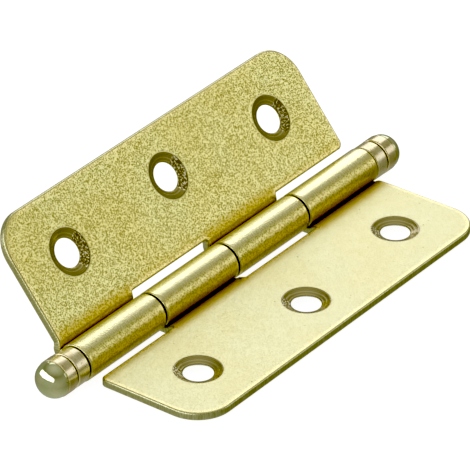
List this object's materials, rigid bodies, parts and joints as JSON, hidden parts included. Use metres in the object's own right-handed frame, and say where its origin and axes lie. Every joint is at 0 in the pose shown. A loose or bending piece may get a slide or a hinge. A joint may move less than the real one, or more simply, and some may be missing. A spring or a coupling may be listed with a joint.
{
  "type": "door hinge",
  "caption": "Rolled steel butt hinge: two flat leaves with rounded corners and countersunk screw holes, interleaved knuckles and a pin with domed button tips.",
  "frame": {"origin": "on the back (mounting) face of the fixed leaf, half way along the hinge, 10 mm out from the pin axis", "axes": "+X from the pin across the fixed leaf to its outer edge, +Y along the pin to the far tip, +Z out of the countersunk face of the fixed leaf"},
  "size_m": [0.0452, 0.098, 0.0233],
  "materials": {
    "leaf_plating": "satin brass-coloured plating on sheet steel, fine grain, light wear",
    "pin_steel": "plated steel rod",
    "turned_fitting": "turned and plated, fine circumferential lines",
    "polished_tip": "polished and plated, mirror-like, greenish gold"
  },
  "bodies": {
    "fixed": {"fixed_leaf": "leaf_plating", "hinge_pin": "pin_steel", "near_collar": "turned_fitting", "far_collar": "turned_fitting", "near_tip": "polished_tip", "far_tip": "polished_tip"},
    "swing": {"swing_leaf": "leaf_plating"}
  },
  "joints": [
    {"name": "leaf_hinge", "type": "hinge", "parent": "fixed", "child": "swing", "pos_m": [-0.01, 0, 0.0026], "axis": [0, -1, 0], "range_deg": [-129, 141]}
  ]
}
